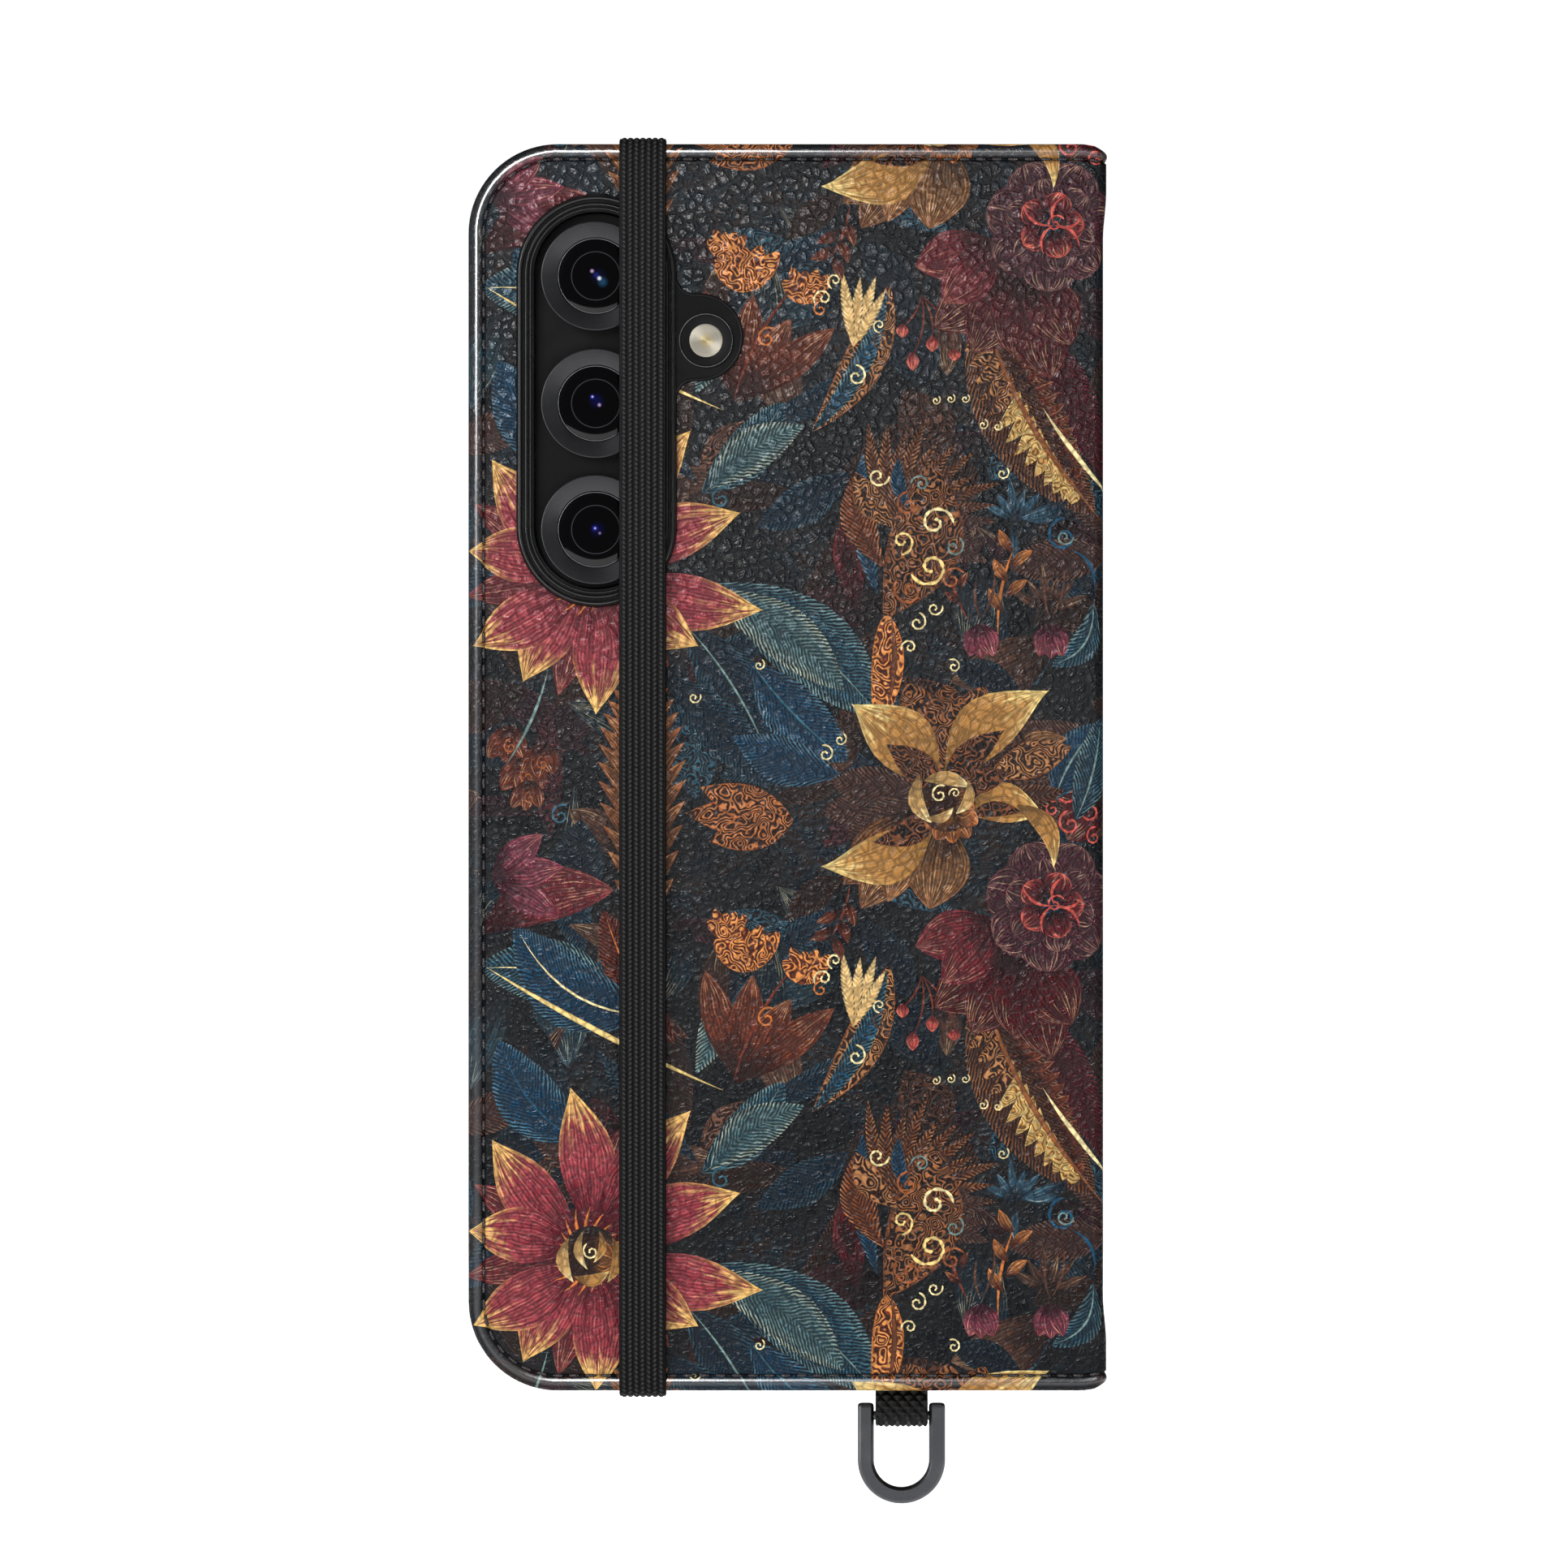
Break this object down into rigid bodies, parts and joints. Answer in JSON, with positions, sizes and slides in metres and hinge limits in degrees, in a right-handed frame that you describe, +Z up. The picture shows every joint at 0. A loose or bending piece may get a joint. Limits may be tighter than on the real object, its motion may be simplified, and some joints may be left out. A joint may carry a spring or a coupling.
{
  "type": "phone case",
  "caption": "Book-style phone case with a moulded tray, folding front cover with card pockets, camera window, elastic band, side keys and a swinging lanyard ring.",
  "frame": {"origin": "the phone seat: the middle of the tray's floor, where the phone's back rests", "axes": "+Z up the case towards the phone's top, +Y from the back cover towards the front cover, +X towards the spine"},
  "size_m": [0.0787, 0.0182, 0.1685],
  "materials": {
    "printed_skin": "pebble-grained soft skin with an all-over botanical print on near-black, satin",
    "stiff_board": "pressed fibre board, raw",
    "lining": "black brushed microfibre",
    "pocket_skin": "black fine-grained soft skin",
    "thread": "black sewing thread",
    "moulded_tray": "black moulded elastomer, satin",
    "bonding_tape": "dark foam tape",
    "window_rim": "black moulded rim, semi-gloss",
    "camera_plate": "black plate, satin",
    "lens_metal": "black anodised, turned",
    "lens_black": "black barrel",
    "lens_glass": "coated clear cover glass",
    "flash_lens": "pale gold diffuser with fine turned rings",
    "elastic_weave": "black ribbed woven elastic",
    "webbing_weave": "black webbing with raised diamond studs",
    "gunmetal": "dark gunmetal plating, satin with bright chamfers"
  },
  "bodies": {
    "back": {"back_skin": "printed_skin", "back_board": "stiff_board", "back_lining": "lining", "back_stitching": "thread", "phone_tray": "moulded_tray", "tray_tape": "bonding_tape", "camera_bezel": "window_rim", "camera_plate": "camera_plate", "lens_ring_1": "lens_metal", "lens_ring_2": "lens_metal", "lens_ring_3": "lens_metal", "lens_glass_1": "lens_glass", "lens_glass_2": "lens_glass", "lens_glass_3": "lens_glass", "lens_barrel_1": "lens_black", "lens_barrel_2": "lens_black", "lens_barrel_3": "lens_black", "flash_ring": "camera_plate", "flash_diffuser": "flash_lens", "band_end_top": "elastic_weave", "band_end_bottom": "elastic_weave", "webbing_tail": "webbing_weave"},
    "spine": {"spine_skin": "printed_skin", "spine_board": "stiff_board", "spine_lining": "lining"},
    "front_cover": {"front_skin": "printed_skin", "front_board": "stiff_board", "front_lining": "lining", "front_stitching": "thread", "cash_pocket": "pocket_skin", "card_pocket_1": "pocket_skin", "card_pocket_2": "pocket_skin", "card_pocket_3": "pocket_skin"},
    "band": {"band_strap": "elastic_weave"},
    "tab": {"webbing_loop": "webbing_weave"},
    "ring": {"u_ring": "gunmetal", "ring_pin": "gunmetal"},
    "volume_key": {"volume_button": "moulded_tray"},
    "power_key": {"power_button": "moulded_tray"}
  },
  "joints": [
    {"name": "spine_fold", "type": "hinge", "parent": "back", "child": "spine", "pos_m": [0.03865, -0.0027, 0], "axis": [0, 0, -1], "range_deg": [0, 90]},
    {"name": "cover_fold", "type": "hinge", "parent": "spine", "child": "front_cover", "pos_m": [0.03865, 0.01155, 0], "axis": [0, 0, -1], "range_deg": [0, 90]},
    {"name": "band_stretch", "type": "slide", "parent": "back", "child": "band", "axis": [0, -1, 0], "range_m": [0, 0.006], "stiffness_N_per_m": 150},
    {"name": "tab_flex", "type": "hinge", "parent": "back", "child": "tab", "pos_m": [0.0146, -0.0011, -0.07685], "axis": [1, 0, 0], "range_deg": [-30, 30]},
    {"name": "ring_swing", "type": "hinge", "parent": "tab", "child": "ring", "pos_m": [0.0146, -0.0011, -0.08005], "axis": [1, 0, 0], "range_deg": [-60, 60]},
    {"name": "volume_press", "type": "slide", "parent": "back", "child": "volume_key", "axis": [1, 0, 0], "range_m": [0, 0.0004], "stiffness_N_per_m": 2000},
    {"name": "power_press", "type": "slide", "parent": "back", "child": "power_key", "axis": [1, 0, 0], "range_m": [0, 0.0004], "stiffness_N_per_m": 2000}
  ],
  "couplings": [
    {"joint": "cover_fold", "follows": "spine_fold", "ratio": 1}
  ]
}
